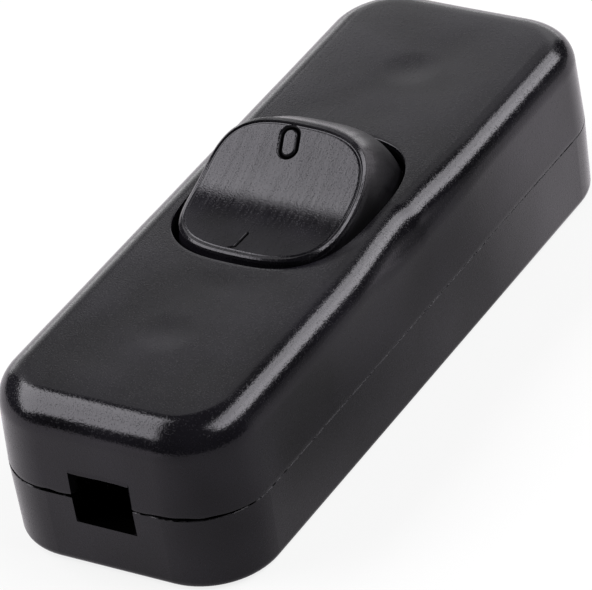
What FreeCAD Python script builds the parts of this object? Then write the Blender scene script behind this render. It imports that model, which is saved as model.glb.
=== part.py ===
import FreeCAD, Part
import math
import os

os.makedirs("parts", exist_ok=True)
V = FreeCAD.Vector

# Inline cord switch with a double-pole rocker, in mm. X runs across, Y along the cord, Z up.
# The underside of the housing is at Z = 0 and the plan centre is the origin. Front is -Y, left is -X.

# housing shell
housing_length = 70.0
housing_width = 25.4
housing_height = 16.5
parting_height = 7.5
plan_corner_radius = 6.9
top_edge_radius = 3.2
base_edge_radius = 0.8
parting_chamfer = 0.06
upper_draft = 0.03
lower_draft = 0.025
wall = 1.8
roof = 1.8
floor = 1.8
roof_chamfer = 1.2
lip_thickness = 0.8
lip_height = 1.0
lip_clearance = 0.1
inlet_width = 6.1
inlet_height = 5.2
inlet_corner_radius = 0.6
sink_radius = 3.3
sink_depth = 0.16

# rocker and its aperture
rocker_sweep_radius = 11.5
rocker_exponent = 2.75
rocker_tilt = 21.0
rocker_wall = 1.4
rocker_top = 1.6
rocker_clearance = 0.4
skirt_height = 0.3
pivot_drop = 5.3
dish_height = 2.3
dish_slope = 0.30
dish_softness = 3.9
rim_chamfer = 0.15
aperture_side_gap = 0.6
aperture_brim = 0.63
aperture_end_gap = 0.5
aperture_exponent = 2.9
aperture_lip = 0.5
aperture_chamfer = 0.12
trunnion_radius = 1.5
trunnion_end_gap = 0.6
ear_radius = 2.6
ear_step = 0.4
running_clearance = 0.05
lug_gap = 0.55
lug_flank = 1.6
post_clearance = 0.2

# plungers and springs in the rocker
pole_offset = 4.2
stem_radius = 2.2
plunger_radius = 1.25
plunger_length = 3.4
plunger_reach = 2.4
spring_seat_depth = 3.2
spring_wire = 0.34
spring_turns = 5
nose_gap = 0.18

# contact levers, contacts and terminals
lever_width = 3.6
lever_thickness = 0.8
lever_half_length = 6.5
lever_knee = 3.0
lever_bend = 24.0
lever_swing = 10.0
pivot_bar_radius = 0.6
pivot_bar_height = 0.75
pivot_seat = 0.36
strip_thickness = 1.0
contact_radius = 1.3
contact_height = 0.7
contact_gap = 0.12
rivet_radius = 0.65
rivet_head = 0.3
rivet_head_radius = 0.9
terminal_width = 5.2
terminal_length = 4.6
terminal_height = 5.2
terminal_offset = 0.4
wire_bore_radius = 1.35
wire_bore_height = 2.7
partition_thickness = 1.0
partition_height = 4.0
fence_thickness = 0.7
fence_height = 1.4

# cord clamps
clamp_width = 3.8
clamp_height = 2.2
clamp_room = 3.6
clamp_rib = 0.5
clamp_rib_width = 1.0
clamp_corner_radius = 1.5
clamp_post_radius = 2.0
clamp_post_gap = 0.9
saddle_width = 1.4
saddle_gap = 0.1

# screws
terminal_screw_radius = 1.45
terminal_head_radius = 2.2
terminal_head_height = 1.6
terminal_screw_length = 3.0
clamp_screw_radius = 1.2
clamp_head_radius = 1.9
clamp_head_height = 1.3
clamp_screw_length = 6.6
housing_screw_radius = 1.45
housing_head_radius = 2.5
housing_head_height = 1.9
housing_screw_length = 9.2
screw_spacing = 43.6
screw_seat_height = 3.6
recess_clearance = 0.3
sleeve_wall = 0.8
boss_wall = 1.5
hole_clearance = 0.15
thread_clearance = 0.05
tip_room = 0.6
seat_clearance = 0.1
slot_width = 0.7
slot_depth = 0.8
head_crown = 0.6
cross_reach = 1.5

# places worked out from the sizes above
half_x = housing_width / 2
half_y = housing_length / 2
inner_x = half_x - wall
inner_y = half_y - wall
ceiling = housing_height - roof
pivot_z = housing_height - pivot_drop
dish_z = pivot_drop + dish_height
top_half_width = half_x - upper_draft * (housing_height - parting_height) - top_edge_radius
aperture_half_width = top_half_width - aperture_brim
rocker_half_width = aperture_half_width - aperture_side_gap
aperture_half_length = math.sqrt(rocker_sweep_radius ** 2 - pivot_drop ** 2) + aperture_end_gap
lug_inner = rocker_half_width + lug_gap
lug_low = parting_height + lip_height + 2 * lip_clearance
trunnion_end = inner_x - upper_draft * (pivot_z - parting_height) - trunnion_end_gap
strip_top = floor + strip_thickness
lever_z = strip_top + pivot_bar_height
terminal_x = pole_offset + terminal_offset
terminal_y = rocker_sweep_radius + rocker_clearance + terminal_length / 2
terminal_top = floor + terminal_height
bore_z = floor + wire_bore_height
screw_y = screw_spacing / 2
recess_radius = housing_head_radius + recess_clearance
sleeve_radius = recess_radius + sleeve_wall
boss_radius = housing_screw_radius + boss_wall
screw_tip = screw_seat_height + housing_screw_length
inlet_low = parting_height - inlet_height / 2
clamp_x = inlet_width / 2 + clamp_post_gap + clamp_post_radius
clamp_y = (screw_y + sleeve_radius + inner_y) / 2
clamp_z = inlet_low + clamp_room
clamp_top = clamp_z + clamp_height
sides = {"left": -1, "right": 1}
ends = {"front": -1, "rear": 1}
corners = [(side, end) for side in sides.values() for end in ends.values()]


def box(x0, x1, y0, y1, z0, z1):
    x0, x1 = sorted((x0, x1))
    y0, y1 = sorted((y0, y1))
    return Part.makeBox(x1 - x0, y1 - y0, z1 - z0, V(x0, y0, z0))


def post(radius, x, y, z0, z1):
    return Part.makeCylinder(radius, z1 - z0, V(x, y, z0))


def rod_x(radius, x0, x1, y=0.0, z=0.0):
    return Part.makeCylinder(radius, abs(x1 - x0), V(min(x0, x1), y, z), V(1, 0, 0))


def rounded_loop(hx, hy, radius, z):
    # four quarter circles joined by straight runs
    arcs, joins = [], []
    for i, (sx, sy) in enumerate(((1, 1), (-1, 1), (-1, -1), (1, -1))):
        centre = V(sx * (hx - radius), sy * (hy - radius), z)
        arc = Part.makeCircle(radius, centre, V(0, 0, 1), 90 * i, 90 * i + 90)
        arcs.append(arc)
        joins.append((arc.valueAt(arc.FirstParameter), arc.valueAt(arc.LastParameter)))
    loop = []
    for i, arc in enumerate(arcs):
        loop += [arc, Part.makeLine(joins[i][1], joins[(i + 1) % 4][0])]
    return Part.Wire(loop)


def drafted_block(inset, z0, z1, draft):
    # the housing plan moved in by inset at the parting plane and tapered away from it
    loops = []
    for z in (z0, z1):
        step = inset + draft * abs(z - parting_height)
        loops.append(rounded_loop(half_x - step, half_y - step, plan_corner_radius - step, z))
    return Part.makeLoft(loops, True, True)


def level_edges(shape, z):
    return [e for e in shape.Edges if abs(e.BoundBox.ZMin - z) < 1e-4 and abs(e.BoundBox.ZMax - z) < 1e-4]


def super_loop(a, b, exponent, z, count=28):
    # closed curve on |x/a|^n + |y/b|^n = 1
    points = []
    for i in range(count):
        t = 2 * math.pi * (i + 0.5) / count
        c, s = math.cos(t), math.sin(t)
        r = (abs(c / a) ** exponent + abs(s / b) ** exponent) ** (-1 / exponent)
        points.append(V(r * c, r * s, z))
    curve = Part.BSplineCurve()
    curve.interpolate(points, PeriodicFlag=True)
    return Part.Wire(curve.toShape())


def screw_blank(radius, length, head_radius, head_height):
    # head underside at Z = 0, shank down; the head is a short drum with a sloping crown
    drum = head_height - head_crown
    screw = Part.makeCylinder(head_radius, drum)
    screw = screw.fuse(Part.makeCone(head_radius, head_radius - head_crown, head_crown, V(0, 0, drum)))
    return screw.fuse(Part.makeCylinder(radius, length, V(0, 0, -length)))


def slotted(screw, head_radius, head_height):
    half = slot_width / 2
    slot = box(-head_radius, head_radius, -half, half, head_height - slot_depth, head_height)
    return screw.cut(slot).removeSplitter()


def crossed(screw, head_height):
    # two crossing slots that stop short of the head's edge
    for x, y in ((cross_reach, slot_width / 2), (slot_width / 2, cross_reach)):
        screw = screw.cut(box(-x, x, -y, y, head_height - slot_depth, head_height))
    return screw.removeSplitter()


def moved(shape, x, y, z):
    shape = shape.copy()
    shape.translate(V(x, y, z))
    return shape


def tilted(shape, angle, x, z):
    # turned about the X axis through its own origin, then set in place
    shape = shape.copy()
    shape.rotate(V(0, 0, 0), V(1, 0, 0), angle)
    shape.translate(V(x, 0, z))
    return shape


def save(name, shape):
    if not shape.isValid():
        print("not valid:", name)
    shape.exportStep("parts/" + name + ".step")
    print(name, len(shape.Solids), round(shape.Volume, 2))


def inlets():
    # both cord inlets, centred on the parting plane and running through the end walls, rounded below
    cuts = []
    for end in ends.values():
        cut = box(-inlet_width / 2, inlet_width / 2, end * (inner_y - wall), end * (half_y + wall),
                  inlet_low, inlet_low + inlet_height)
        along = [e for e in level_edges(cut, inlet_low) if e.BoundBox.YLength > wall]
        cuts.append(cut.makeFillet(inlet_corner_radius, along))
    return cuts


def upper_housing():
    shell = drafted_block(0, parting_height, housing_height, upper_draft)
    shell = shell.makeFillet(top_edge_radius, level_edges(shell, housing_height))
    shell = shell.makeChamfer(parting_chamfer, level_edges(shell, parting_height))
    room = drafted_block(wall, parting_height, ceiling, upper_draft)
    room = room.makeChamfer(roof_chamfer, level_edges(room, ceiling))
    rebate = drafted_block(wall - lip_thickness - lip_clearance, parting_height,
                           parting_height + lip_height + lip_clearance, upper_draft)
    shell = shell.cut([room, rebate])

    # bearing lugs for the trunnions and bosses for the housing screws, rooted in the roof
    lug_half = trunnion_radius + lug_flank
    root = ceiling + roof / 4
    adds = [box(side * lug_inner, side * (inner_x + wall / 4), -lug_half, lug_half, lug_low, root)
            for side in sides.values()]
    adds += [post(boss_radius, 0, end * screw_y, parting_height + seat_clearance, root)
             for end in ends.values()]
    shell = shell.fuse(adds)

    cuts = inlets()
    slot_half = trunnion_radius + running_clearance
    for side in sides.values():
        near, far = side * (lug_inner - lug_gap / 2), side * (trunnion_end + running_clearance)
        cuts.append(rod_x(slot_half, near, far, 0, pivot_z))
        cuts.append(box(near, far, -slot_half, slot_half, lug_low - lip_height, pivot_z))
    ball = (sink_radius ** 2 + sink_depth ** 2) / (2 * sink_depth)
    for end in ends.values():
        cuts.append(post(housing_screw_radius + thread_clearance, 0, end * screw_y, parting_height,
                         screw_tip + tip_room))
        cuts.append(Part.makeSphere(ball, V(0, end * screw_y, housing_height - sink_depth + ball)))
    opening = super_loop(aperture_half_width, aperture_half_length, aperture_exponent, ceiling - roof)
    cuts.append(Part.Face(opening).extrude(V(0, 0, 3 * roof)))
    # below its thin lip the aperture follows the rocker's sweep
    relief_half = rocker_half_width + rocker_clearance
    relief_radius = rocker_sweep_radius + rocker_clearance
    relief = rod_x(relief_radius, -relief_half, relief_half, 0, pivot_z)
    reach = relief_radius + wall
    cuts.append(relief.common(box(-reach, reach, -reach, reach, lug_low, housing_height - aperture_lip)))
    shell = shell.cut(cuts)
    brim = [e for e in level_edges(shell, housing_height)
            if abs(e.BoundBox.YLength - 2 * aperture_half_length) < aperture_end_gap]
    return shell.makeChamfer(aperture_chamfer, brim)


def lower_housing():
    shell = drafted_block(0, 0, parting_height, lower_draft)
    shell = shell.makeFillet(base_edge_radius, level_edges(shell, 0))
    shell = shell.makeChamfer(parting_chamfer, level_edges(shell, parting_height))
    lip_top = parting_height + lip_height
    lip = drafted_block(wall - lip_thickness, parting_height - lip_height, lip_top, upper_draft)
    room = drafted_block(wall, floor, parting_height, lower_draft)
    above = drafted_block(wall, parting_height, lip_top, upper_draft)
    shell = shell.fuse(lip).cut([room, above])

    root = floor / 2
    adds = [box(-partition_thickness / 2, partition_thickness / 2, -terminal_y, terminal_y, root,
                floor + partition_height)]
    cuts = inlets()
    # posts that hold the trunnions up in their slots
    post_half = trunnion_radius + running_clearance - post_clearance
    post_inner = lug_inner + post_clearance
    for side in sides.values():
        post_outer = trunnion_end - post_clearance
        adds.append(box(side * post_inner, side * post_outer, -post_half, post_half, root,
                        pivot_z - trunnion_radius - running_clearance))
        adds.append(box(side * post_inner, side * (inner_x + wall / 4), -post_half, post_half, root,
                        parting_height - lip_height))
    # a fence round each terminal block, open towards the middle for its strip, and the clamp posts
    hx = terminal_width / 2 + seat_clearance
    hy = terminal_length / 2 + seat_clearance
    for side, end in corners:
        x, y = side * terminal_x, end * terminal_y
        fence = box(x - hx - fence_thickness, x + hx + fence_thickness, y - end * hy,
                    y + end * (hy + fence_thickness), root, floor + fence_height)
        adds.append(fence.cut(box(x - hx, x + hx, y - end * 2 * hy, y + end * hy, root, terminal_top)))
        adds.append(post(clamp_post_radius, side * clamp_x, end * clamp_y, root, clamp_z))
        cuts.append(post(clamp_screw_radius + thread_clearance, side * clamp_x, end * clamp_y,
                         clamp_top - clamp_screw_length - tip_room, clamp_top))
    for end in ends.values():
        adds.append(post(sleeve_radius, 0, end * screw_y, root, parting_height - seat_clearance))
        adds.append(box(-inlet_width / 2, inlet_width / 2, end * clamp_y - saddle_width / 2,
                        end * clamp_y + saddle_width / 2, root, inlet_low - saddle_gap))
        cuts.append(post(recess_radius, 0, end * screw_y, -floor, screw_seat_height))
        cuts.append(post(housing_screw_radius + hole_clearance, 0, end * screw_y, 0, parting_height))
    return shell.fuse(adds).cut(cuts).removeSplitter()


def dish(drop):
    # everything below the rocker's soft V-shaped top, moved down by drop
    reach = rocker_sweep_radius + 1
    points = []
    for i in range(25):
        y = reach * (i / 12 - 1)
        rise = dish_slope * (math.hypot(y, dish_softness) - dish_softness)
        points.append(V(-reach, y, dish_z + rise - drop))
    curve = Part.BSplineCurve()
    curve.interpolate(points)
    turn = [points[-1], V(-reach, reach, -reach), V(-reach, -reach, -reach), points[0]]
    edges = [curve.toShape()] + [Part.makeLine(turn[i], turn[i + 1]) for i in range(3)]
    return Part.Face(Part.Wire(edges)).extrude(V(2 * reach, 0, 0))


def rocker_block(inset, drop, z0):
    # lofted block whose end walls sweep round the pivot, cut off by the dish
    radius = rocker_sweep_radius - inset
    top = 0.93 * radius
    sections = []
    for i in range(6):
        z = z0 + (top - z0) * i / 5
        b = math.sqrt(radius ** 2 - z * z)
        sections.append(super_loop(rocker_half_width - inset, b, rocker_exponent, z))
    return Part.makeLoft(sections, True, False).common(dish(drop))


def rocker():
    # in its own frame, with the pivot axis as origin
    body = rocker_block(0, 0, skirt_height)
    rim = [e for e in body.Edges if e.BoundBox.ZMin > pivot_drop and e.BoundBox.XLength > rocker_half_width]
    body = body.makeChamfer(rim_chamfer, rim)
    body = body.cut(rocker_block(rocker_wall, rocker_top, skirt_height - rocker_wall))
    adds, cuts = [], []
    for side in sides.values():
        # each ear hangs from the side wall, a step back from both of its faces
        root = side * (rocker_half_width - rocker_wall + ear_step / 4)
        adds.append(rod_x(ear_radius, root, side * (rocker_half_width - ear_step)))
        adds.append(rod_x(trunnion_radius, root, side * (trunnion_end - running_clearance)))
        adds.append(post(stem_radius, side * pole_offset, 0, plunger_reach - nose_drop,
                         dish_z - rocker_top / 2))
        cuts.append(post(plunger_radius + running_clearance, side * pole_offset, 0,
                         -nose_drop, dish_z - spring_seat_depth))
    return body.fuse(adds).cut(cuts)


def lever_line(lift):
    # height of the bent strip over its pivot axis: steep to the knee, then flatter
    knee_z = lift + lever_knee * math.tan(bend)
    tip_z = knee_z + (lever_half_length - lever_knee) * math.tan(swing)
    rear = [V(0, lever_knee, knee_z), V(0, lever_half_length, tip_z)]
    return [V(0, -p.y, p.z) for p in reversed(rear)] + [V(0, 0, lift)] + rear


def contact_lever():
    # the strip and its riveted contact, with the pivot axis as origin and the swing at its middle
    under, over = lever_line(pivot_seat), lever_line(lever_top)
    strip = Part.Face(Part.makePolygon(under + over[::-1] + under[:1])).extrude(V(lever_width, 0, 0))
    strip.translate(V(-lever_width / 2, 0, 0))
    groove = rod_x(pivot_bar_radius + running_clearance, -lever_width, lever_width)
    contact_y = (lever_knee + lever_half_length) / 2
    contact_z = pivot_seat + lever_knee * math.tan(bend) + (contact_y - lever_knee) * math.tan(swing)
    thick = (lever_top - pivot_seat) * math.cos(swing)
    shank = post(rivet_radius, 0, 0, -contact_height, thick + rivet_head)
    tip = shank.fuse([post(contact_radius, 0, 0, -contact_height, 0),
                      post(rivet_head_radius, 0, 0, thick, thick + rivet_head)])
    for piece in (shank, tip):
        piece.rotate(V(0, 0, 0), V(1, 0, 0), lever_swing)
        piece.translate(V(0, contact_y, contact_z))
    return strip.cut([groove, shank]), tip.removeSplitter()


bend = math.radians(lever_bend)
swing = math.radians(lever_swing)
lever_top = pivot_seat + lever_thickness / math.cos(bend)
nose_drop = pivot_z - lever_z - lever_top - (plunger_radius + nose_gap) / math.cos(bend)

save("upper_housing", upper_housing())
save("lower_housing", lower_housing())
save("rocker", tilted(rocker(), rocker_tilt, 0, pivot_z))

# plungers with a round nose, the springs behind them, and the levers that they push
plunger_top = plunger_length - nose_drop
plunger = post(plunger_radius, 0, 0, -nose_drop, plunger_top)
plunger = plunger.fuse(Part.makeSphere(plunger_radius, V(0, 0, -nose_drop))).removeSplitter()
coil_radius = plunger_radius - spring_wire
coil_height = dish_z - spring_seat_depth - plunger_top - spring_wire
helix = Part.makeHelix(coil_height / spring_turns, coil_height, coil_radius)
near, far = coil_radius - spring_wire / 2, coil_radius + spring_wire / 2
section = Part.makePolygon([V(near, 0, 0), V(far, 0, 0), V(far, 0, spring_wire), V(near, 0, spring_wire),
                            V(near, 0, 0)])
coil = Part.Wire(helix).makePipeShell([section], True, True)
coil.translate(V(0, 0, plunger_top))
lever, tip = contact_lever()
for name, side in sides.items():
    x = side * pole_offset
    save(name + "_plunger", tilted(plunger, rocker_tilt, x, pivot_z))
    save(name + "_plunger_spring", tilted(coil, rocker_tilt, x, pivot_z))
    save(name + "_contact_lever", tilted(lever, -lever_swing, x, lever_z))
    save(name + "_moving_contact", tilted(tip, -lever_swing, x, lever_z))

# terminals: a bored block on a strip, one with the lever's pivot bar and one with the fixed contact
closed = tilted(tip, -lever_swing, 0, lever_z).BoundBox
fixed_y = closed.Center.y
block = box(-terminal_width / 2, terminal_width / 2, -terminal_length / 2, terminal_length / 2,
            floor, terminal_top)
wire_bore = Part.makeCylinder(wire_bore_radius, terminal_length, V(0, -terminal_length / 2, bore_z),
                              V(0, 1, 0))
thread = post(terminal_screw_radius + thread_clearance, 0, 0,
              terminal_top - terminal_screw_length - thread_clearance, terminal_top)
block = block.cut([wire_bore, thread])
for name, side in sides.items():
    x = side * pole_offset
    x0, x1 = x - lever_width / 2, x + lever_width / 2
    strip = box(x0, x1, -terminal_y, pivot_bar_radius, floor, strip_top)
    upright = box(x0, x1, -pivot_bar_radius, pivot_bar_radius, floor, lever_z)
    bar = rod_x(pivot_bar_radius, x0, x1, 0, lever_z)
    supply = moved(block, side * terminal_x, -terminal_y, 0).fuse([strip, upright, bar])
    save(name + "_supply_terminal", supply.removeSplitter())
    strip = box(x0, x1, fixed_y - contact_radius, terminal_y, floor, strip_top)
    load = moved(block, side * terminal_x, terminal_y, 0).fuse(strip)
    load = load.cut(post(rivet_radius, x, fixed_y, floor, strip_top))
    save(name + "_load_terminal", load.removeSplitter())
    fixed = post(contact_radius, x, fixed_y, strip_top, closed.ZMin - contact_gap)
    save(name + "_fixed_contact", fixed.fuse(post(rivet_radius, x, fixed_y, floor, strip_top)))

# screws, each kind one group of like pieces
screw = screw_blank(terminal_screw_radius, terminal_screw_length, terminal_head_radius, terminal_head_height)
screw = slotted(screw, terminal_head_radius, terminal_head_height)
group = [moved(screw, side * terminal_x, end * terminal_y, terminal_top) for side, end in corners]
save("terminal_screws", Part.makeCompound(group))
screw = screw_blank(clamp_screw_radius, clamp_screw_length, clamp_head_radius, clamp_head_height)
screw = slotted(screw, clamp_head_radius, clamp_head_height)
group = [moved(screw, side * clamp_x, end * clamp_y, clamp_top) for side, end in corners]
save("clamp_screws", Part.makeCompound(group))
screw = screw_blank(housing_screw_radius, housing_screw_length, housing_head_radius, housing_head_height)
screw = crossed(screw, housing_head_height)
screw.rotate(V(0, 0, 0), V(1, 0, 0), 180)
group = [moved(screw, 0, end * screw_y, screw_seat_height) for end in ends.values()]
save("housing_screws", Part.makeCompound(group))

# cord clamps: a bar across two posts with a rib that bites the cord
for name, end in ends.items():
    y = end * clamp_y
    bar_x = clamp_x + clamp_post_radius
    bar = box(-bar_x, bar_x, y - clamp_width / 2, y + clamp_width / 2, clamp_z, clamp_top)
    bar = bar.makeFillet(clamp_corner_radius, [e for e in bar.Edges if e.BoundBox.ZLength > clamp_height / 2])
    rib_x = inlet_width / 2 - clamp_rib
    rib = box(-rib_x, rib_x, y - clamp_rib_width / 2, y + clamp_rib_width / 2, clamp_z - clamp_rib, clamp_top)
    holes = [post(clamp_screw_radius + hole_clearance, side * clamp_x, y, clamp_z, clamp_top)
             for side in sides.values()]
    save(name + "_cord_clamp", bar.fuse(rib).cut(holes).removeSplitter())
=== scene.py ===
import bpy, bmesh, math
import numpy as np
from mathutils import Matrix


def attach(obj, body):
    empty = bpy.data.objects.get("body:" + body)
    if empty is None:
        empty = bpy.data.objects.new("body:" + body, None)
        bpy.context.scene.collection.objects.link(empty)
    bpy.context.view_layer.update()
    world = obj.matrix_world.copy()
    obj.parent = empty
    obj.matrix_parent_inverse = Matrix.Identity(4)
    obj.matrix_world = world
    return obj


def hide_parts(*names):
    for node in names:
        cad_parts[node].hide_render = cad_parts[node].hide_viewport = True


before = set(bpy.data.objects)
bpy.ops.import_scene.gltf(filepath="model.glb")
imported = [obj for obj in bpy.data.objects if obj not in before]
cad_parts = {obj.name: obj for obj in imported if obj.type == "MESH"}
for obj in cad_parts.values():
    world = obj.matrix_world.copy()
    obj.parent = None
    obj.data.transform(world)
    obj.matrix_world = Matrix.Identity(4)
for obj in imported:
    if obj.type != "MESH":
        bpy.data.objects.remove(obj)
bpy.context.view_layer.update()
mm = 0.001  # shapes below are worked out in mm and degrees
squareOn = 0.999  # an outward direction this near to an axis belongs to a straight side
print("frame:", len(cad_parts), "nodes")


def superLoop(a, b, power, angle):
    # rounded square |x/a|^n + |y/b|^n = 1, met by the ray at each stretched angle
    c, s = np.cos(angle), np.sin(angle)
    k = (np.abs(c) ** power + np.abs(s) ** power) ** (-1 / power)
    return np.stack(np.broadcast_arrays(a * k * c, b * k * s), -1)


def smoothStep(low, high, value):
    # 0 below low, 1 above high, and 3t^2 - 2t^3 between
    t = np.clip((value - low) / (high - low), 0, 1)
    return t * t * (3 - 2 * t)


def ripple(length, smooth, seed):
    # seeded noise on a closed loop, averaged over neighbours and scaled to about one
    draws = np.random.default_rng(seed).normal(size=length)
    window = np.exp(-0.5 * (np.arange(-3 * smooth, 3 * smooth + 1) / smooth) ** 2)
    wrapped = np.concatenate([draws[-3 * smooth:], draws, draws[:3 * smooth]])
    soft = np.convolve(wrapped, window, "valid")
    return soft / soft.std()


def revolved(profile, centre, axis="z", count=48):
    # profile of (radius, height) rows turned once about an axis through centre
    turn = np.linspace(0, 2 * math.pi, count, endpoint=False)
    radius, height = np.array(profile, float).T
    ring = np.stack([radius[:, None] * np.cos(turn), radius[:, None] * np.sin(turn),
                     np.broadcast_to(height[:, None], (len(radius), count))], -1)
    if axis == "x":
        ring = ring[..., [2, 0, 1]]
    return ring + np.array(centre, float)


meshRules = {"weld": 2e-6, "sharpAngle": 38.0}


def meshFrom(name, skins, paintedShadeLevels):
    # each skin is (grid of points in mm, rows wrap, columns wrap); all are welded into one mesh;
    # the levels of painted shade, 0 to 1, are given for each point of the first skin, and the last level
    # goes to the other skins
    points, quads, first = [], [], 0
    for grid, wrapRows, wrapColumns in skins:
        rows, columns = grid.shape[:2]
        ids = np.arange(rows * columns).reshape(rows, columns) + first
        down = np.roll(ids, -1, 0)
        right, both = np.roll(ids, -1, 1), np.roll(down, -1, 1)
        keepRows = slice(None) if wrapRows else slice(0, -1)
        keepColumns = slice(None) if wrapColumns else slice(0, -1)
        quads.append(np.stack([ids, right, both, down], -1)[keepRows, keepColumns].reshape(-1, 4))
        if wrapRows and not wrapColumns:
            quads.append(np.stack([ids[:, 0], ids[::-1, -1]]))  # close both ends of a four-sided bar
        points.append(grid.reshape(-1, 3))
        first += rows * columns
    mesh = bpy.data.meshes.new(name)
    mesh.from_pydata(np.concatenate(points) * mm, [], np.concatenate(quads).tolist())
    # painted shade, kept as a point attribute that darkens the finish
    paintedShade = np.full(first, paintedShadeLevels[-1, 0])
    paintedShade[:paintedShadeLevels.size] = paintedShadeLevels.ravel()
    mesh.attributes.new("paintedShade", "FLOAT", "POINT").data.foreach_set("value", paintedShade)
    work = bmesh.new()
    work.from_mesh(mesh)
    bmesh.ops.remove_doubles(work, verts=work.verts, dist=meshRules["weld"])
    bmesh.ops.recalc_face_normals(work, faces=work.faces)
    work.to_mesh(mesh)
    work.free()
    mesh.shade_smooth()
    mesh.set_sharp_from_angle(angle=math.radians(meshRules["sharpAngle"]))
    piece = bpy.data.objects.new(name, mesh)
    bpy.context.scene.collection.objects.link(piece)
    print(name, len(mesh.polygons), "faces")
    return piece


upperShell = {
    "halfWidth": 12.698, "halfLength": 34.998, "height": 16.5, "parting": 7.5, "cornerRadius": 6.9,
    "topRadius": 3.2, "draft": 0.03, "wall": 1.8, "ceiling": 14.7, "ceilingSlope": 1.2,
    # joint with the lower half, and the cord inlets
    "lipWall": 0.9, "lipTop": 8.6, "edge": 0.07, "gap": 0.035, "endGap": 0.20,
    "jag": 0.08, "jagRange": (-1.2, 2), "sideShare": 0.04, "endTurn": (0.2, 0.9),
    "inletHalf": 3.05, "inletStep": 0.03, "inletTop": 10.1, "inletJag": 0.03,
    # aperture, relieved below its lip for the rocker's sweep
    "openHalfWidth": 8.85, "openShift": -0.23, "openHalfLength": 10.7, "openPower": 2.9,
    "openSquare": 2.1, "squareFocus": 6, "openEdge": 0.11, "openLip": 0.5,
    "reliefStep": 0.05, "reliefMid": 15.4, "reliefRadius": 11.9, "pivotHeight": 11.2,
    # flat top: its fall to the edge, sink marks over the bosses and a slow swell
    "crown": 0.02, "crownWidth": 2.5, "sinkY": 21.8, "sinkRadius": 3.1, "sinkDepth": (0.04, 0.055),
    "swell": 0.022, "swellRate": (0.42, 0.19), "swellStart": (1.0, 0.4), "rimFade": 8.0, "brimFade": 4.0,
    # right edge: pulls and changes of radius, each with the stretch of y that it grows or dies over
    "edgePull": 0.56, "kinkGrow": (-10, 0.5), "kinkDie": (0.9, 2.6), "tail": 0.4, "tailDie": (3.5, 9.5),
    "wallPull": 0.30, "wallGrow": (-21, -1), "midGrow": (-10, -1), "softDie": (-1, 11), "waver": 0.012,
    "edgeGrow": 0.42, "edgeShrink": 0.4, "shrinkGrow": (6, 14), "shrinkTurn": (0, 0.9),
    # radians up the rounding where the middle pull, the top one and the fall take over
    "midArc": 0.5, "topArc": (0.45, 0.8), "crownArc": 1.2,
    # bosses for the housing screws and lugs for the rocker's trunnions
    "rootDepth": 0.05, "bossRadius": 2.95, "bossLow": 7.6, "pilotRadius": 1.5, "pilotTop": 13.4,
    "lugInner": 8.55, "lugOuter": 11.0, "lugHalf": 3.1, "lugLow": 8.7, "lugSpread": 2.4, "slotHalf": 1.55,
    # rows of the grid, and the painted shade on the inside and along the lower edge at the joint
    "edgeRows": 5, "wallRows": 18, "roundRows": 30, "topRows": 64, "openRows": 7, "insidePaintedShade": 0.5,
}


def planColumns(p, sideCount=200, cornerCount=26, inletCount=12):
    # the plan is a core rectangle grown outwards: each column has a core point and an outward direction
    cx, cy = p["halfWidth"] - p["cornerRadius"], p["halfLength"] - p["cornerRadius"]
    run = np.linspace(-cy, cy, sideCount)
    beside = p["inletHalf"] + p["inletStep"]  # columns close together keep the inlet's sides upright
    half = np.concatenate([np.linspace(0, p["inletHalf"], inletCount), np.linspace(beside, cx, inletCount)])
    endRun = np.concatenate([-half[:0:-1], half])
    turn = np.linspace(0, math.pi / 2, cornerCount + 2)[1:-1]

    def straight(x, y, nx, ny):
        x, y = np.broadcast_arrays(np.asarray(x, float), np.asarray(y, float))
        return np.stack([x, y, np.full(x.shape, nx), np.full(x.shape, ny)], -1)

    def corner(x, y, start):
        angle = start + turn
        return np.stack([np.full_like(angle, x), np.full_like(angle, y), np.cos(angle), np.sin(angle)], -1)

    columns = np.concatenate([
        straight(cx, run, 1, 0), corner(cx, cy, 0),
        straight(-endRun, cy, 0, 1), corner(-cx, cy, math.pi / 2),
        straight(-cx, -run, -1, 0), corner(-cx, -cy, math.pi),
        straight(endRun, -cy, 0, -1), corner(cx, -cy, 1.5 * math.pi)])
    return columns[:, :2], columns[:, 2:]


def jointEdge(p, core, out):
    # height of the shell's lower edge at each column: an uneven joint, widest at the ends,
    # or the roof of an inlet
    count = len(core)
    inlet = (np.abs(out[:, 1]) > squareOn) & (np.abs(core[:, 0]) < p["inletHalf"] + p["inletStep"] / 2)
    atEnd = smoothStep(*p["endTurn"], np.abs(out[:, 1]))
    uneven = np.clip(ripple(count, 2, 3), *p["jagRange"])
    gap = p["gap"] + p["endGap"] * atEnd + p["jag"] * (p["sideShare"] + atEnd) * uneven
    roof = p["inletTop"] + p["inletJag"] * ripple(count, 2, 5)
    return inlet, np.where(inlet, roof, p["parting"] + gap)


def rightEdge(p, y, out):
    # the top edge is pulled in beside the aperture on the right, where the brim is thinnest: a kink with
    # a tail at the top of the rounding, and longer, softer pulls half way down it and on the wall
    onSide = out[:, 0] > squareOn
    kink = smoothStep(*p["kinkGrow"], y) * (1 - smoothStep(*p["kinkDie"], y))
    kink = kink + p["tail"] * smoothStep(*p["kinkDie"], y) * (1 - smoothStep(*p["tailDie"], y))
    kink = kink * onSide
    soft = (1 - smoothStep(*p["softDie"], y)) * onSide
    farRight = smoothStep(*p["shrinkGrow"], y) * smoothStep(*p["shrinkTurn"], out[:, 0])
    topRadius = p["topRadius"] + p["edgeGrow"] * kink - p["edgeShrink"] * farRight
    topPull = p["edgePull"] * kink + p["waver"] * ripple(len(y), 7, 11)
    midPull = p["edgePull"] * smoothStep(*p["midGrow"], y) * soft
    wallPull = p["wallPull"] * smoothStep(*p["wallGrow"], y) * soft
    return topRadius, topPull, midPull, wallPull


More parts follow.
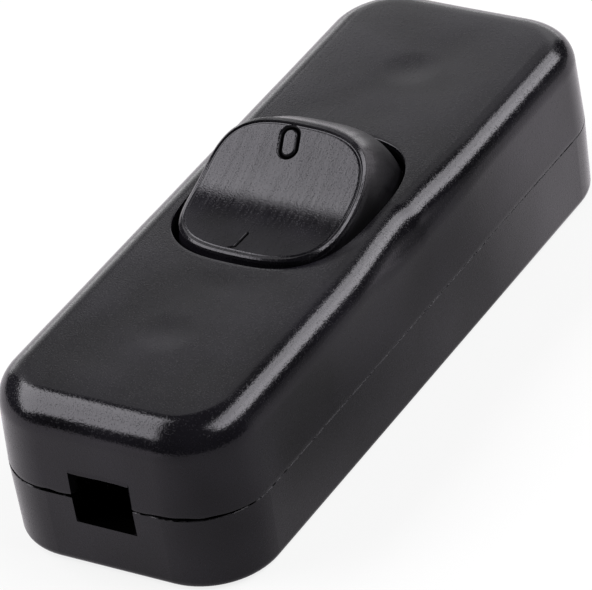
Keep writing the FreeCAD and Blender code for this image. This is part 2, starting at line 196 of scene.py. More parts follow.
def flatRim(p):
    # inset and half sizes of the rounded rectangle where the flat top begins
    inset = p["draft"] * (p["height"] - p["topRadius"] - p["parting"]) + p["topRadius"]
    return inset, np.array([p["halfWidth"], p["halfLength"]]) - inset


def crownFall(p, place):
    # the top falls by the square of the nearness to its rim, from crownWidth inside it outwards
    inset, half = flatRim(p)
    corner = p["cornerRadius"] - inset
    over = np.abs(place) - half + corner
    inside = corner - np.linalg.norm(np.maximum(over, 0), axis=-1) - np.minimum(over.max(-1), 0)
    return p["crown"] * np.clip(1 - inside / p["crownWidth"], 0, None) ** 2


def topHeight(p, flat, brim):
    # sink marks are bowls (1 - r^2)^2; the swell is two crossed sine waves that fade at the rim and the brim
    x, y = flat[..., 0], flat[..., 1]
    far = np.hypot(x, np.abs(y) - p["sinkY"]) / p["sinkRadius"]
    dent = np.where(y < 0, *p["sinkDepth"]) * np.clip(1 - far ** 2, 0, None) ** 2
    (rateX, rateY), (startX, startY) = p["swellRate"], p["swellStart"]
    swell = p["swell"] * (np.sin(x * rateX + startX) * np.sin(y * rateY + startY) - 1)
    fade = smoothStep(0, p["rimFade"], flatRim(p)[1] - np.abs(flat)).prod(-1)
    fade = fade * smoothStep(0, p["brimFade"], np.linalg.norm(flat - brim, axis=-1))
    return p["height"] - dent + swell * fade - crownFall(p, flat)


def upperSkin(p):
    # one closed profile carried round the plan: parting edge, drafted wall, rounded top edge, flat top,
    # aperture lip, ceiling, inner wall and rebate, back to the parting edge
    core, out = planColumns(p)
    count = len(core)
    inlet, low = jointEdge(p, core, out)
    topRadius, topPull, midPull, wallPull = rightEdge(p, core[:, 1], out)

    def plan(inset):
        return core + out * (p["cornerRadius"] - inset)[..., None]

    def rows(inset, z):
        inset, z = np.broadcast_arrays(inset, z)
        return np.concatenate([plan(inset), z[..., None]], -1)

    bend = np.linspace(0, math.pi / 2, p["edgeRows"])[:, None]
    skin = [rows(p["edge"] * (1 - np.sin(bend)), low + p["edge"] * (1 - np.cos(bend)))]

    lean = math.atan(p["draft"])
    filletZ = p["height"] - topRadius
    filletIn = p["draft"] * (filletZ - p["parting"]) + topRadius / math.cos(lean)
    wallLow, wallTop = low + p["edge"], filletZ + topRadius * math.sin(lean)
    z = wallLow + (wallTop - wallLow) * np.linspace(0, 1, p["wallRows"])[1:, None]
    pulled = wallPull * smoothStep(p["parting"], wallTop, z)
    skin.append(rows(p["draft"] * (z - p["parting"]) + pulled, z))
    arc = np.linspace(lean, math.pi / 2, p["roundRows"])[1:, None]
    pulled = wallPull + (midPull - wallPull) * smoothStep(lean, p["midArc"], arc)
    pulled = pulled + (topPull - midPull) * smoothStep(*p["topArc"], arc)
    inset = filletIn - (topRadius - pulled) * np.cos(arc)
    sag = crownFall(p, plan(inset)) * smoothStep(lean, p["crownArc"], arc)
    skin.append(rows(inset, filletZ + topRadius * np.sin(arc) - sag))

    # the aperture's near left corner is squarer than the other three
    rim = plan(filletIn)
    angle = np.arctan2(rim[:, 1] / rim[:, 1].max(), rim[:, 0] / rim[:, 0].max())
    nearLeft = np.clip(-np.cos(angle), 0, None) ** p["squareFocus"] * np.clip(-np.sin(angle), 0, None)
    power = p["openPower"] + p["openSquare"] * nearLeft

    def opening(grow, halfLength, z):
        loop = superLoop(p["openHalfWidth"] + grow, halfLength + grow, power, angle)
        return np.concatenate([loop + (p["openShift"], 0), np.broadcast_to(z, count)[:, None]], -1)[None]

    brim = opening(p["openEdge"], p["openHalfLength"], p["height"])[0, :, :2]
    across = np.linspace(0, 1, p["topRows"])[1:-1, None, None]
    flat = rim * (1 - across) + brim * across
    skin.append(np.concatenate([flat, topHeight(p, flat, brim)[..., None]], -1))
    for a in np.linspace(0, math.pi / 2, p["openRows"]):
        z = p["height"] - p["openEdge"] * (1 - math.cos(a)) - crownFall(p, brim)
        skin.append(opening(p["openEdge"] * (1 - math.sin(a)), p["openHalfLength"], z))
    litRows = sum(map(len, skin))  # the rows from here on lie inside

    lipLow = p["height"] - p["openLip"]
    skin.append(opening(0, p["openHalfLength"], lipLow))
    for z in (lipLow - p["reliefStep"], p["reliefMid"], p["ceiling"]):
        skin.append(opening(0, math.sqrt(p["reliefRadius"] ** 2 - (z - p["pivotHeight"]) ** 2), z))
    inner = p["wall"] + p["draft"] * (p["ceiling"] - p["parting"])
    for inset, z in ((inner + p["ceilingSlope"], p["ceiling"]), (inner, p["ceiling"] - p["ceilingSlope"]),
                     (p["wall"], p["lipTop"]), (p["lipWall"], p["lipTop"]), (p["lipWall"], p["parting"])):
        skin.append(rows(np.full((1, count), inset), np.where(inlet, max(z, p["inletTop"]), z)[None]))
    skin = np.concatenate(skin)
    # painted shade: every row inside the shell and the lower edge row at the joint
    paintedShade = np.zeros(skin.shape[:2])
    paintedShade[litRows:] = p["insidePaintedShade"]
    paintedShade[0] = p["insidePaintedShade"]
    return skin, paintedShade


def screwBoss(p, end):
    # a post with a pilot hole, hung from the ceiling: one profile turned about its upright axis
    root = p["ceiling"] + p["rootDepth"]
    profile = [(0, p["pilotTop"]), (p["pilotRadius"], p["pilotTop"]), (p["pilotRadius"], p["bossLow"]),
               (p["bossRadius"], p["bossLow"]), (p["bossRadius"], root), (0, root)]
    return revolved(profile, (0, end * p["sinkY"], 0))


def lugBar(p, side):
    # a U-shaped bearing: the slot's outline and the block's outline joined by a four-sided bar
    turn = np.linspace(math.pi, 0, 25)
    arch = np.stack([p["slotHalf"] * np.cos(turn), p["pivotHeight"] + p["slotHalf"] * np.sin(turn)], -1)
    slot = np.concatenate([[[-p["slotHalf"], p["lugLow"]]], arch, [[p["slotHalf"], p["lugLow"]]]])
    block = np.stack([np.where(slot[:, 0] < 0, -p["lugHalf"], p["lugHalf"]), slot[:, 1]], -1)
    block[1:-1, 0] = np.clip(p["lugSpread"] * slot[1:-1, 0], -p["lugHalf"], p["lugHalf"])
    block[2:-2, 1] = p["ceiling"] + p["rootDepth"]
    inner, outer = side * p["lugInner"], side * p["lugOuter"]
    corners = ((slot, inner), (block, inner), (block, outer), (slot, outer))
    return np.stack([np.column_stack([np.full(len(line), x), line]) for line, x in corners])


upperGrid, upperPaintedShade = upperSkin(upperShell)
upperSkins = [(upperGrid, True, True)]
for end in (-1, 1):
    upperSkins.append((screwBoss(upperShell, end), False, True))
    upperSkins.append((lugBar(upperShell, end), True, False))
upper = meshFrom("upper_shell", upperSkins, upperPaintedShade)
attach(upper, "housing")
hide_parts("upper_housing")


rockerShape = {
    "halfWidth": 8.0, "sweep": 11.5, "power": 2.75, "squaring": 0.4, "skirt": 0.3, "wall": 1.4, "top": 1.6,
    "tilt": 21.0, "pivot": (0.0, 0.0, upperShell["pivotHeight"]),
    "dishHeight": 7.6, "dishSlope": 0.30, "dishSoft": 3.9,
    # rim, the groove inside it and the tuck below it at the ends; a drop is a depth below the rim
    "rimWidth": 0.26, "nearWidth": 0.12, "nearTurn": (0.6, 0.95), "bevel": 39.0, "bevelHold": (0.22, 0.82),
    "lipWidth": 0.40, "recess": 0.035, "grooveDepth": 0.09, "grooveWidth": 0.11,
    "tuck": 0.16, "tuckDrop": 0.4, "tuckTurn": (0.75, 0.95), "squareDrop": 3.5,
    # cut marks
    "ringPlace": (-0.72, 5.28), "ringLean": 12.0, "ringHalf": (0.80, 1.38), "ringStroke": 0.27,
    "ringDepth": 0.30, "strokePlace": (-0.42, -5.55), "strokeLean": -9.0, "strokeHalf": 1.0,
    "strokeWidth": 0.20, "strokeDepth": 0.25, "strokeHook": 2.2, "hookStart": 0.7,
    # fittings below
    "earRadius": 2.6, "earSpan": (1.3, 0.4),
    "trunnionRadius": 1.5, "trunnionEnd": 10.13, "trunnionBevel": 0.15,
    "stemRadius": 2.2, "stemLow": -2.45, "stemTop": 6.4,
    "boreRadius": 1.3, "boreTop": 4.4, "poleOffset": 4.2,
    # spacing of the grid's rays and rows
    "rayStart": 0.003, "rayCrowd": 0.33, "faceShare": (0.3, 0.91), "faceRows": (10, 114),
    "rimInset": (0.7, 0.55), "rimRows": (4, 18), "bevelRows": 15, "sweepTop": 10.9, "wallRows": 26,
    "insideRows": (9, 10),
    # painted shade in the cut marks, low on the sides and on the inside
    "markPaintedShade": 1.6, "sidePaintedShade": 0.8, "sideDrop": (0.2, 1.3), "sideTurn": (0.25, 0.7),
    "insidePaintedShade": 0.5, "insideDrop": (0.6, 2.5),
}


def turned(x, y, place, lean):
    # coordinates about a mark's own centre and upright
    c, s = math.cos(math.radians(lean)), math.sin(math.radians(lean))
    dx, dy = x - place[0], y - place[1]
    return c * dx + s * dy, c * dy - s * dx


def engraving(x, y, p):
    # share of full depth in the two cut marks: a drawn-out ring, and a short stroke hooked at its foot
    u, v = turned(x, y, p["ringPlace"], p["ringLean"])
    straight = p["ringHalf"][1] - p["ringHalf"][0]
    away = np.abs(np.hypot(u, np.maximum(np.abs(v) - straight, 0)) - p["ringHalf"][0])
    ring = 1 - smoothStep(0, p["ringStroke"], away)
    u, v = turned(x, y, p["strokePlace"], p["strokeLean"])
    u = u + p["strokeHook"] * np.clip(-v - p["hookStart"], 0, None) ** 2
    away = np.hypot(u, np.maximum(np.abs(v) - p["strokeHalf"], 0))
    return ring, 1 - smoothStep(0, p["strokeWidth"], away)


def rockerSkin(p, columns=440):
    # rays from the middle cross the dished face, its lip and rim, then run down the wall that sweeps
    # round the pivot, under the skirt and back up inside
    angle = np.linspace(0, 2 * math.pi, columns, endpoint=False) + p["rayStart"]
    angle = angle + p["rayCrowd"] * np.sin(2 * angle)  # rays crowd towards the two marks

    def dish(y):
        return p["dishHeight"] + p["dishSlope"] * (np.hypot(y, p["dishSoft"]) - p["dishSoft"])

    def wall(z, inset, squarer=0.0):
        b = np.sqrt((p["sweep"] - inset) ** 2 - z ** 2)
        return superLoop(p["halfWidth"] - inset, b, p["power"] + squarer, angle)

    def rimAt(inset, drop):
        # where the dish meets the wall, found by going back and forth between them
        z = np.full(columns, p["dishHeight"])
        for _ in range(30):
            z = dish(wall(z, inset)[:, 1]) - drop
        return wall(z, inset), z

    # rows of the face: by share of the way out, then by distance from the rim
    rim, rimZ = rimAt(0.0, 0.0)
    reach = np.hypot(rim[:, 0], rim[:, 1])
    (mid, last), (few, many) = p["faceShare"], p["faceRows"]
    share = np.concatenate([np.linspace(0, mid, few)[:-1], np.linspace(mid, last, many)[:-1]])
    nearEnd = smoothStep(*p["nearTurn"], -np.sin(angle))
    rimWidth = p["rimWidth"] * (1 - nearEnd) + p["nearWidth"] * nearEnd
    (deep, close), (few, many) = p["rimInset"], p["rimRows"]
    inset = np.concatenate([np.linspace(deep, close, few)[:-1, None] * np.ones(columns),
                            close + (rimWidth - close) * np.linspace(0, 1, many)[:, None]])
    scale = np.concatenate([np.broadcast_to(share[:, None], (len(share), columns)), 1 - inset / reach])
    scale = np.minimum.accumulate(scale[::-1], 0)[::-1]
    x, y = rim[:, 0] * scale, rim[:, 1] * scale
    fromLip = (1 - scale) * reach - p["lipWidth"]
    ring, stroke = engraving(x, y, p)
    z = dish(y) - p["recess"] * smoothStep(0, p["grooveWidth"], fromLip)
    z = z - p["grooveDepth"] * np.exp(-(fromLip / p["grooveWidth"]) ** 2)
    z = z - p["ringDepth"] * ring - p["strokeDepth"] * stroke
    skin = [np.stack([x, y, z], -1)]
    # painted shade in the cut marks
    paintedShade = [np.clip(p["markPaintedShade"] * (ring + stroke), 0, 1)]

    # the rim turns down from level to upright, holding one lean over most of its width
    step, hold = np.linspace(0, 1, p["bevelRows"]), math.radians(p["bevel"])
    held, freed = p["bevelHold"]
    lean = hold * smoothStep(0, held, step) + (math.pi / 2 - hold) * smoothStep(freed, 1, step)
    lean = ((lean[1:] + lean[:-1]) / 2)[:, None]
    outward, fall = np.cumsum(np.cos(lean), 0), np.cumsum(np.sin(lean), 0)
    roundZ = rimZ - rimWidth * fall / outward[-1]
    roundXY = wall(np.minimum(roundZ, p["sweepTop"]), 0.0)
    short = rimWidth * (1 - outward / outward[-1])
    shrink = 1 - short / np.hypot(roundXY[..., 0], roundXY[..., 1])
    skin.append(np.concatenate([roundXY * shrink[..., None], roundZ[..., None]], -1))
    paintedShade.append(np.zeros_like(roundZ))

    wallZ = roundZ[-1] + (p["skirt"] - roundZ[-1]) * np.linspace(0, 1, p["wallRows"])[1:, None]
    under = roundZ[-1] - wallZ
    endward = np.abs(rim[:, 1]) / rim[:, 1].max()
    tuck = p["tuck"] * smoothStep(0, p["tuckDrop"], under) * smoothStep(*p["tuckTurn"], endward)
    squarer = p["squaring"] * smoothStep(0, p["squareDrop"], under)
    skin.append(np.concatenate([wall(wallZ, tuck, squarer), wallZ[..., None]], -1))
    # painted shade low on the sides and far down the wall
    sideways = 1 - smoothStep(*p["sideTurn"], endward)
    paintedShade.append(np.maximum(p["insidePaintedShade"] * smoothStep(*p["insideDrop"], under),
                              p["sidePaintedShade"] * sideways * smoothStep(*p["sideDrop"], under)))

    insideXY, insideZ = rimAt(p["wall"], p["top"])
    upRows, backRows = p["insideRows"]
    wallZ = p["skirt"] + (insideZ - p["skirt"]) * np.linspace(0, 1, upRows)[:, None]
    skin.append(np.concatenate([wall(wallZ, p["wall"]), wallZ[..., None]], -1))
    back = np.linspace(1, 0, backRows)[1:, None]
    x, y = insideXY[:, 0] * back, insideXY[:, 1] * back
    skin.append(np.stack([x, y, dish(y) - p["top"]], -1))
    # painted shade on the inside
    paintedShade += [np.full(part.shape[:2], p["insidePaintedShade"]) for part in skin[-2:]]
    return np.concatenate(skin), np.concatenate(paintedShade)


def rockerFittings(p, side):
    # one side's ear, trunnion and bored stem, each a profile turned about its axis
    inner, outer = (side * (p["halfWidth"] - step) for step in p["earSpan"])
    ear = [(0, inner), (p["earRadius"], inner), (p["earRadius"], outer), (0, outer)]
    radius, tip, bevel = p["trunnionRadius"], side * p["trunnionEnd"], p["trunnionBevel"]
    trunnion = [(0, inner), (radius, inner), (radius, tip - side * bevel), (radius - bevel, tip), (0, tip)]
    stem = [(0, p["boreTop"]), (p["boreRadius"], p["boreTop"]), (p["boreRadius"], p["stemLow"]),
            (p["stemRadius"], p["stemLow"]), (p["stemRadius"], p["stemTop"]), (0, p["stemTop"])]
    return [revolved(ear, (0, 0, 0), "x"), revolved(trunnion, (0, 0, 0), "x"),
            revolved(stem, (side * p["poleOffset"], 0, 0))]


def tilted(p, grid):
    # turned about the crossways axis to the pose at rest, and set on the pivot
    c, s = math.cos(math.radians(p["tilt"])), math.sin(math.radians(p["tilt"]))
    turn = np.array([[1, 0, 0], [0, c, -s], [0, s, c]])
    return grid @ turn.T + np.array(p["pivot"])


rockerGrid, rockerPaintedShade = rockerSkin(rockerShape)
rockerGrids = [rockerGrid]
for side in (-1, 1):
    rockerGrids += rockerFittings(rockerShape, side)
rockerSkins = [(tilted(rockerShape, grid), False, True) for grid in rockerGrids]
rocker = meshFrom("rocker_shell", rockerSkins, rockerPaintedShade)
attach(rocker, "rocker")
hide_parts("rocker")


def newGroup(name, inputs, outputs):
    group = bpy.data.node_groups.new(name, "ShaderNodeTree")
    for label, kind, value in inputs:
        socket = group.interface.new_socket(label, in_out="INPUT", socket_type=kind)
        if value is not None:
            socket.default_value = value
    for label, kind in outputs:
        group.interface.new_socket(label, in_out="OUTPUT", socket_type=kind)
    return group, group.nodes.new("NodeGroupInput").outputs, group.nodes.new("NodeGroupOutput").inputs


def addNode(tree, kind, inputs=None, **settings):
    node = tree.nodes.new("ShaderNode" + kind)
    for key, value in settings.items():
        setattr(node, key, value)
    for key, value in (inputs or {}).items():
        if isinstance(value, bpy.types.NodeSocket):
            tree.links.new(value, node.inputs[key])
        else:
            node.inputs[key].default_value = value
    return node


def mapped(tree, value, low, high, toLow, toHigh):
    return addNode(tree, "MapRange", {0: value, 1: low, 2: high, 3: toLow, 4: toHigh}).outputs[0]


def mixedColour(tree, factor, first, second):
    return addNode(tree, "Mix", {0: factor, 6: first, 7: second}, data_type="RGBA").outputs[2]


def combined(tree, first, second, operation="ADD"):
    return addNode(tree, "Math", {0: first, 1: second}, operation=operation).outputs[0]


def noise(tree, vector, scale, detail):
    return addNode(tree, "TexNoise", {"Vector": vector, "Scale": scale, "Detail": detail}).outputs[0]


def makeGrain():
    # moulding grain: fine specks over a slow unevenness
    group, inner, outer = newGroup("mouldingGrain", [
        ("Vector", "NodeSocketVector", None), ("Speck Scale", "NodeSocketFloat", 6000.0),
        ("Wave Scale", "NodeSocketFloat", 160.0), ("Wave Share", "NodeSocketFloat", 0.5)],
        [("Speck", "NodeSocketFloat"), ("Wave", "NodeSocketFloat"), ("Height", "NodeSocketFloat")])
    speck = noise(group, inner["Vector"], inner["Speck Scale"], 2.0)
    wave = noise(group, inner["Vector"], inner["Wave Scale"], 1.0)
    share = combined(group, wave, inner["Wave Share"], "MULTIPLY")
    group.links.new(speck, outer["Speck"])
    group.links.new(wave, outer["Wave"])
    group.links.new(combined(group, speck, share), outer["Height"])
    return group


def makeRubs():
    # drawn-out fine lines, as left by handling and by the mould's polishing
    group, inner, outer = newGroup("rubLines", [
        ("Vector", "NodeSocketVector", None), ("Across", "NodeSocketFloat", 4000.0),
        ("Along", "NodeSocketFloat", 260.0), ("Cut", "NodeSocketFloat", 0.55)],
        [("Mask", "NodeSocketFloat")])
    stretch = addNode(group, "CombineXYZ", {0: inner["Across"], 1: inner["Along"], 2: inner["Along"]})
    drawn = addNode(group, "VectorMath", {0: inner["Vector"], 1: stretch.outputs[0]}, operation="MULTIPLY")
    lines = noise(group, drawn.outputs[0], 1.0, 3.0)
    group.links.new(mapped(group, lines, inner["Cut"], 0.8, 0.0, 1.0), outer["Mask"])
    return group


grainGroup, rubGroup = makeGrain(), makeRubs()


def placeGroup(tree, group, vector, values):
    node = tree.nodes.new("ShaderNodeGroup")
    node.node_tree = group
    tree.links.new(vector, node.inputs["Vector"])
    for label, value in values.items():
        node.inputs[label].default_value = value
    return node.outputs


def placeGrain(tree, coords, look):
    return placeGroup(tree, grainGroup, coords, {
        "Speck Scale": look["speck"], "Wave Scale": look["wave"], "Wave Share": look["waveShare"]})


def placeRubs(tree, coords, look):
    return placeGroup(tree, rubGroup, coords, {
        "Across": look["rubAcross"], "Along": look["rubAlong"], "Cut": look["rubCut"]})["Mask"]


def startMaterial(name, constants):
    material = bpy.data.materials.new(name)
    material.use_nodes = True
    tree = material.node_tree
    shader = tree.nodes["Principled BSDF"].inputs
    for label, value in constants.items():
        shader[label].default_value = value
    return material, tree, shader, addNode(tree, "TexCoord").outputs["Object"]


def addBump(tree, shader, height, distance):
    bump = addNode(tree, "Bump", {"Strength": 1.0, "Distance": distance, "Height": height})
    tree.links.new(bump.outputs[0], shader["Normal"])


# painted shade in the cord inlets and along the joint with the upper half
inletShadePlace = {"inletHalf": 3.07, "inletStart": 25.0, "inletLow": 4.87, "edgeLow": 7.42, "edgeHigh": 7.45,
              "breakScale": 900.0, "breakCut": (0.40, 0.60), "breakLeft": 0.1, "sideJoint": 0.5}


def paintedInletShade(tree, coords, p):
    # painted shade: 1 in the cord inlets' channels; on the edge that meets the upper half a 1 broken in
    # patches, fainter at the sides
    place = addNode(tree, "SeparateXYZ", {0: coords}).outputs
    near = combined(tree, combined(tree, place[0], 0.0, "ABSOLUTE"), p["inletHalf"] * mm, "LESS_THAN")
    beyond = combined(tree, combined(tree, place[1], 0.0, "ABSOLUTE"), p["inletStart"] * mm, "GREATER_THAN")
    above = combined(tree, place[2], p["inletLow"] * mm, "GREATER_THAN")
    channel = combined(tree, combined(tree, near, beyond, "MULTIPLY"), above, "MULTIPLY")
    edge = mapped(tree, place[2], p["edgeLow"] * mm, p["edgeHigh"] * mm, 0.0, 1.0)
    shadeBreaks = mapped(tree, noise(tree, coords, p["breakScale"], 2.0), *p["breakCut"], 1.0, p["breakLeft"])
    soft = combined(tree, mapped(tree, beyond, 0.0, 1.0, p["sideJoint"], 1.0), shadeBreaks, "MULTIPLY")
    return combined(tree, channel, combined(tree, edge, soft, "MULTIPLY"), "MAXIMUM")


housingLook = {
    "dark": (0.0032, 0.0029, 0.0040, 1), "light": (0.0074, 0.0067, 0.0092, 1),
    # painted shade: its colour, the roughness it adds and the range where it turns to a black that reflects
    # nothing
    "shade": (0.0012, 0.0012, 0.0013, 1), "shadeRough": 0.6, "blackShadeCut": (0.6, 1.0),
    "ior": 1.5, "specular": 0.375, "specularTint": (0.957, 0.925, 1.0, 1), "smooth": 0.12, "rough": 0.36,
    "speck": 6500.0, "speckCut": (0.52, 0.70), "wave": 140.0, "waveShare": 3.0, "cloudCut": (0.35, 0.65),
    "rubAcross": 1600.0, "rubAlong": 220.0, "rubCut": 0.62, "rubRough": 0.12, "rubHeight": 0.15,
    "bump": 0.000012,
}
rockerLook = dict(
    housingLook, wave=220.0, waveShare=2.0, rough=0.28, rubAcross=3800.0, rubAlong=170.0,
    rubCut=0.38, rubRough=0.15, rubHeight=0.08, bump=0.000010)
clampLook = dict(housingLook, rough=0.5, smooth=0.36)


def blackPlastic(name, look, shadedChannels=None):
    # satin black moulding: nearly black body, speckled gloss, faint rub lines, and painted shade where it is
    # sheltered: darker, rougher and, where deepest, reflecting nothing
    material, tree, shader, coords = startMaterial(
        name, {"IOR": look["ior"], "Specular IOR Level": look["specular"],
               "Specular Tint": look["specularTint"]})
    grain, rubs = placeGrain(tree, coords, look), placeRubs(tree, coords, look)
    paintedShade = addNode(tree, "Attribute", attribute_name="paintedShade").outputs["Fac"]
    if shadedChannels:
        paintedShade = combined(tree, paintedShade, paintedInletShade(tree, coords, shadedChannels), "MAXIMUM")
    cloud = mapped(tree, grain["Wave"], *look["cloudCut"], 0.0, 1.0)
    tint = mixedColour(tree, cloud, look["dark"], look["light"])
    tree.links.new(mixedColour(tree, paintedShade, tint, look["shade"]), shader["Base Color"])
    deep = mapped(tree, paintedShade, *look["blackShadeCut"], 0.0, 1.0)
    tree.links.new(deep, shader["Metallic"])  # painted shade: where deepest it becomes a dark metal, which reflects nothing
    gloss = mapped(tree, grain["Speck"], *look["speckCut"], look["smooth"], look["rough"])
    gloss = combined(tree, gloss, mapped(tree, rubs, 0, 1, 0, look["rubRough"]))
    gloss = combined(tree, gloss, mapped(tree, paintedShade, 0, 1, 0, look["shadeRough"]))
    tree.links.new(gloss, shader["Roughness"])
    height = combined(tree, grain["Height"], mapped(tree, rubs, 0, 1, 0, look["rubHeight"]))
    addBump(tree, shader, height, look["bump"])
    return material


metalShared = {"waveShare": 1.0, "rubCut": 0.45, "stainCut": (0.35, 0.7), "speckCut": (0.3, 0.7)}
metalLooks = {
    "brass": {
        "bright": (0.78, 0.56, 0.24, 1), "dull": (0.56, 0.37, 0.15, 1), "smooth": 0.22, "rough": 0.40,
        "speck": 5000.0, "wave": 420.0, "rubAcross": 6000.0, "rubAlong": 500.0, "bump": 0.000003},
    "silver_contact": {
        "bright": (0.86, 0.85, 0.82, 1), "dull": (0.62, 0.59, 0.54, 1), "smooth": 0.18, "rough": 0.34,
        "speck": 8000.0, "wave": 900.0, "rubAcross": 7000.0, "rubAlong": 5000.0, "bump": 0.000002},
    "spring_steel": {
        "bright": (0.55, 0.54, 0.52, 1), "dull": (0.36, 0.35, 0.34, 1), "smooth": 0.22, "rough": 0.36,
        "speck": 9000.0, "wave": 1200.0, "rubAcross": 5000.0, "rubAlong": 5000.0, "bump": 0.000001},
    "plated_steel": {
        "bright": (0.70, 0.71, 0.70, 1), "dull": (0.50, 0.50, 0.47, 1), "smooth": 0.24, "rough": 0.44,
        "speck": 6000.0, "wave": 520.0, "rubAcross": 5200.0, "rubAlong": 4200.0, "bump": 0.0000025},
}


def metalFinish(name, look):
    # bare or plated metal: drawn lines, tarnish in slow patches
    material, tree, shader, coords = startMaterial(name, {"Metallic": 1.0})
    grain, rubs = placeGrain(tree, coords, look), placeRubs(tree, coords, look)
    stain = mapped(tree, grain["Wave"], *look["stainCut"], 0.0, 1.0)
    tree.links.new(mixedColour(tree, stain, look["bright"], look["dull"]), shader["Base Color"])
    gloss = mapped(tree, grain["Speck"], *look["speckCut"], look["smooth"], look["rough"])
    tree.links.new(gloss, shader["Roughness"])
    addBump(tree, shader, combined(tree, grain["Speck"], rubs), look["bump"])
    return material


plungerLook = {
    "warm": (0.74, 0.72, 0.66, 1), "pale": (0.84, 0.83, 0.79, 1), "smooth": 0.32, "rough": 0.48,
    "speck": 5200.0, "speckCut": (0.3, 0.7), "wave": 500.0, "waveShare": 0.6, "bump": 0.000003,
    "ior": 1.46, "milky": 0.25, "milkyDepth": 0.0008,
}


def palePlastic(name, look):
    # natural white plunger moulding with a slight bloom
    material, tree, shader, coords = startMaterial(
        name, {"IOR": look["ior"], "Subsurface Weight": look["milky"],
               "Subsurface Scale": look["milkyDepth"]})
    grain = placeGrain(tree, coords, look)
    tree.links.new(mixedColour(tree, grain["Wave"], look["warm"], look["pale"]), shader["Base Color"])
    gloss = mapped(tree, grain["Speck"], *look["speckCut"], look["smooth"], look["rough"])
    tree.links.new(gloss, shader["Roughness"])
    addBump(tree, shader, grain["Height"], look["bump"])
    return material


finishes = {name: metalFinish(name + "_finish", dict(metalShared, **look))
            for name, look in metalLooks.items()}
finishes["housing_plastic"] = blackPlastic("housing_black", housingLook)
finishes["rocker_plastic"] = blackPlastic("rocker_black", rockerLook)
finishes["clamp_plastic"] = blackPlastic("clamp_black", clampLook)
lowerFinish = blackPlastic("lower_black", housingLook, inletShadePlace)
finishes["plunger_plastic"] = palePlastic("plunger_white", plungerLook)
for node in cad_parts.values():
    slotName = node.material_slots[0].material.name
    node.material_slots[0].material = finishes[slotName]
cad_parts["lower_housing"].material_slots[0].material = lowerFinish
upper.data.materials.append(finishes["housing_plastic"])
rocker.data.materials.append(finishes["rocker_plastic"])
print("finishes:", len(finishes) + 1)


def setPose(piece, x, y, z, place):
    turn = np.eye(4)
    turn[:3, 0], turn[:3, 1], turn[:3, 2], turn[:3, 3] = x, y, z, place
    piece.matrix_world = turn.T.tolist()
    bpy.context.scene.collection.objects.link(piece)


cameraView = {  # in m, with the focal length in pixels of an image this wide
    "place": (0.232416, -0.328718, 0.281081), "focal": 5448.78, "imageWidth": 592, "sensor": 36.0,
    "right": (0.8576, 0.4962, -0.1355), "down": (0.1887, -0.5486, -0.8145),
    "ahead": (-0.4785, 0.6729, -0.5641), "clip": (0.01, 20.0),
}


def makeCamera(p):
    camera = bpy.data.objects.new("camera", bpy.data.cameras.new("camera"))
    camera.data.sensor_width = p["sensor"]
    camera.data.lens = p["sensor"] * p["focal"] / p["imageWidth"]
    camera.data.clip_start, camera.data.clip_end = p["clip"]
    setPose(camera, p["right"], -np.array(p["down"]), -np.array(p["ahead"]), p["place"])
    bpy.context.scene.camera = camera


def makePanel(name, direction, distance, along, size, radiance):
    # a rectangular lamp facing the object; its long side runs near the direction named along
    out = np.array(direction, float) / np.linalg.norm(direction)
    x = np.array(along, float) - np.dot(along, out) * out
    x /= np.linalg.norm(x)
    lamp = bpy.data.lights.new(name, "AREA")
    lamp.shape = "RECTANGLE"
    lamp.size, lamp.size_y = size
    lamp.energy = radiance * math.pi * size[0] * size[1]
    setPose(bpy.data.objects.new(name, lamp), x, np.cross(out, x), out, out * distance)


backdrop = {  # level strips: lowest and highest degrees, bearing, half width and radiance
    "distance": 1.1,
    "strips": (
        (0.3, 7.0, 110.5, 17, 2.1), (7.0, 20.0, 110.5, 17, 0.85), (20.0, 32.4, 110.5, 17, 1.16),
        (32.4, 33.5, 110.5, 17, 0.8), (33.5, 36.5, 110.5, 17, 0.26),
        (0.3, 7.0, 141.5, 14, 2.4), (7.0, 13.0, 141.5, 14, 1.25), (13.0, 20.0, 141.5, 14, 0.75),
        (20.0, 36.5, 141.5, 14, 0.36),
        (36.5, 40.0, 125, 31, 0.38), (40.0, 44.0, 125, 31, 0.56), (44.0, 50.0, 125, 31, 0.74),
        (0.3, 12.0, 45, 22, 0.25)),
}


def makeBackdrop(p):
    # each strip is a panel behind the object, as wide and high as its angles are at that distance
    for number, (low, high, bearing, spread, radiance) in enumerate(p["strips"]):
        turn, rise = math.radians(bearing), math.radians((low + high) / 2)
        direction = (math.cos(turn) * math.cos(rise), math.sin(turn) * math.cos(rise), math.sin(rise))
        along = (-math.sin(turn), math.cos(turn), 0)
        size = [2 * p["distance"] * math.tan(math.radians(half)) for half in (spread, (high - low) / 2)]
        makePanel("backdrop%d" % number, direction, p["distance"], along, size, radiance)


paleFloor = {  # in m; the last three ranges give the painted shadow and painted light on the floor where the object mirrors it
    "half": 3, "drop": 2e-5, "colour": (0.8, 0.8, 0.8, 1), "glow": 0.82,
    "mirrorColour": (0.25, 0.25, 0.25, 1), "mirrorTint": (1.0, 0.955, 1.0, 1),
    "paintedShadowSpot": (0.023, -0.008, 0), "around": (0.004, 0.016, 0.045, 0.25),
    "behind": (-0.001, 0.015, 0.0, 0.87), "aside": (-0.03, 0.018, 0.65, 0.0),
}


def paintedMirrorLevel(tree, coords, p):
    # painted shadow under the object, painted light round about, behind it and to its left; seen only in
    # reflections
    away = addNode(tree, "VectorMath", {0: coords, 1: p["paintedShadowSpot"]}, operation="DISTANCE").outputs["Value"]
    place = addNode(tree, "SeparateXYZ", {0: coords}).outputs
    back = combined(tree, place[1], place[0], "SUBTRACT")
    level = combined(tree, mapped(tree, away, *p["around"]), mapped(tree, back, *p["behind"]))
    return combined(tree, level, mapped(tree, place[0], *p["aside"]))


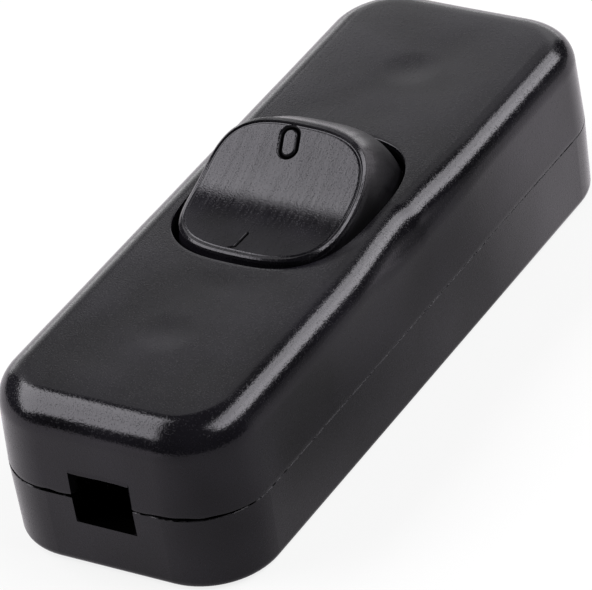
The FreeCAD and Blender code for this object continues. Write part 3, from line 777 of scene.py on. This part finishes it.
def makeFloor(p):
    # a matte floor that glows to the camera's own view; in reflections it is a darker, tinted copy with
    # painted shadow and light of its own
    half, z = p["half"], -p["drop"]
    mesh = bpy.data.meshes.new("floor")
    corners = [(-half, -half, z), (half, -half, z), (half, half, z), (-half, half, z)]
    mesh.from_pydata(corners, [], [(0, 1, 2, 3)])
    floor = bpy.data.objects.new("floor", mesh)
    bpy.context.scene.collection.objects.link(floor)
    material = bpy.data.materials.new("pale_floor")
    material.use_nodes = True
    tree = material.node_tree
    tree.nodes.remove(tree.nodes["Principled BSDF"])
    rays = addNode(tree, "LightPath").outputs
    glossy = rays["Is Glossy Ray"]
    direct = combined(tree, rays["Is Camera Ray"], rays["Is Transmission Ray"], "MAXIMUM")
    mirrored = paintedMirrorLevel(tree, addNode(tree, "TexCoord").outputs["Object"], p)
    seen = combined(tree, combined(tree, direct, p["glow"], "MULTIPLY"),
                    combined(tree, glossy, mirrored, "MULTIPLY"), "MAXIMUM")
    colour = mixedColour(tree, glossy, p["colour"], p["mirrorColour"])
    matte = addNode(tree, "BsdfDiffuse", {"Color": colour})
    tint = mixedColour(tree, glossy, (1, 1, 1, 1), p["mirrorTint"])
    glow = addNode(tree, "Emission", {"Color": tint, "Strength": 1.0})
    mixed = addNode(tree, "MixShader", {0: seen, 1: matte.outputs[0], 2: glow.outputs[0]})
    tree.links.new(mixed.outputs[0], tree.nodes["Material Output"].inputs["Surface"])
    mesh.materials.append(material)


studio = {  # in m
    "frontBox": {"direction": (-0.6535, -0.2585, 0.7114), "distance": 0.8, "along": (-0.06, 0.953, 0.369),
                 "size": (0.888, 0.465), "radiance": 5.45},
    "sideBox": {"direction": (0.5675, 0.4191, 0.7088), "distance": 0.8, "along": (0.285, -0.883, 0.368),
                "size": (0.92, 0.195), "radiance": 6.9},
    "sideBoxTop": {"direction": (0.3662, 0.4079, 0.8364), "distance": 0.8, "along": (0.285, -0.883, 0.368),
                   "size": (0.92, 0.195), "radiance": 5.3},
    "worldLevel": 0.04,
}


def makeStudio(p):
    makeCamera(cameraView)
    for name in ("frontBox", "sideBox", "sideBoxTop"):
        makePanel(name, **p[name])
    makeBackdrop(backdrop)
    world = bpy.data.worlds.new("studio")
    world.use_nodes = True
    world.node_tree.nodes["Background"].inputs["Color"].default_value = (p["worldLevel"],) * 3 + (1,)
    bpy.context.scene.world = world
    makeFloor(paleFloor)
    bpy.context.scene.view_settings.view_transform = "Standard"
    print("studio ready")


makeStudio(studio)
